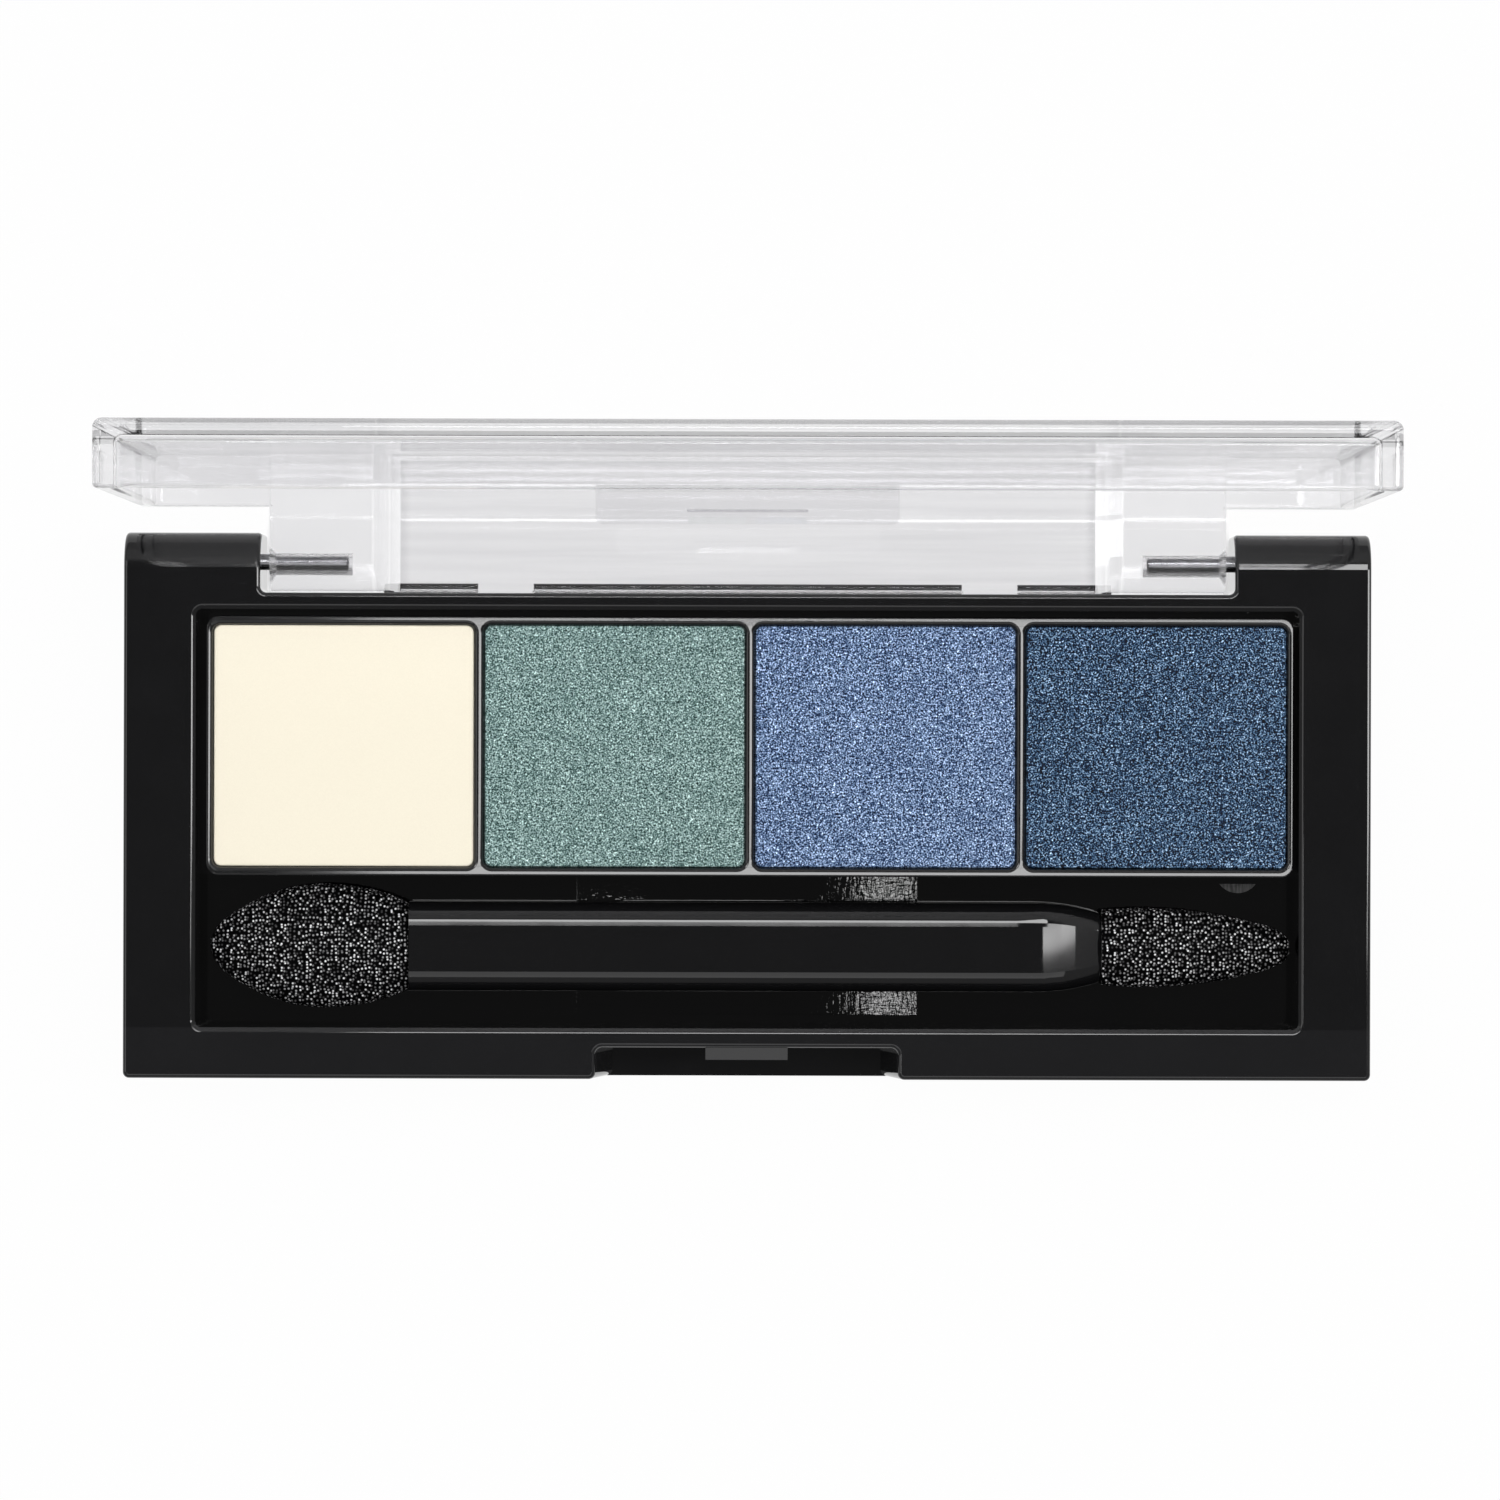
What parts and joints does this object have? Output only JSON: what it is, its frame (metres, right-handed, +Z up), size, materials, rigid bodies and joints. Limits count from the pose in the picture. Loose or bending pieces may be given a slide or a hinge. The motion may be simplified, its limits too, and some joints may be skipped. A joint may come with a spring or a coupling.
{
  "type": "eyeshadow palette",
  "caption": "Eyeshadow palette: flat black case with a clear lid that hinges open, pressed powders in a row of pans and a double-ended sponge applicator in the trough before them.",
  "frame": {"origin": "centre of the case's underside", "axes": "+X to the right along the row of powders, +Y to the hinge, +Z up"},
  "size_m": [0.092, 0.0472, 0.0418],
  "materials": {
    "case_plastic": "gloss",
    "tray_plastic": "gloss",
    "handle_plastic": "gloss",
    "clear_plastic": "clear gloss",
    "pin_steel": "satin",
    "foam": "open foam",
    "pan_metal": "satin",
    "glue": "satin",
    "powder_cream": "pressed powder",
    "powder_green": "pressed shimmer powder",
    "powder_blue": "pressed shimmer powder",
    "powder_navy": "pressed shimmer powder"
  },
  "bodies": {
    "case": {"base_case": "case_plastic", "pan_tray": "tray_plastic", "hinge_pin_left": "pin_steel", "hinge_pin_right": "pin_steel", "pan_cream": "pan_metal", "powder_cream": "powder_cream", "glue_cream": "glue", "pan_green": "pan_metal", "powder_green": "powder_green", "glue_green": "glue", "pan_blue": "pan_metal", "powder_blue": "powder_blue", "glue_blue": "glue", "pan_navy": "pan_metal", "powder_navy": "powder_navy", "glue_navy": "glue"},
    "lid": {"lid": "clear_plastic"},
    "applicator": {"applicator_handle": "handle_plastic", "sponge_oval": "foam", "sponge_point": "foam"}
  },
  "joints": [
    {"name": "lid_hinge", "type": "hinge", "parent": "case", "child": "lid", "pos_m": [0, 0.01802, 0.0039], "axis": [1, 0, 0], "range_deg": [0, 90]},
    {"name": "applicator_lift", "type": "slide", "parent": "case", "child": "applicator", "axis": [0, 0, 1], "range_m": [0, 0.03]}
  ]
}
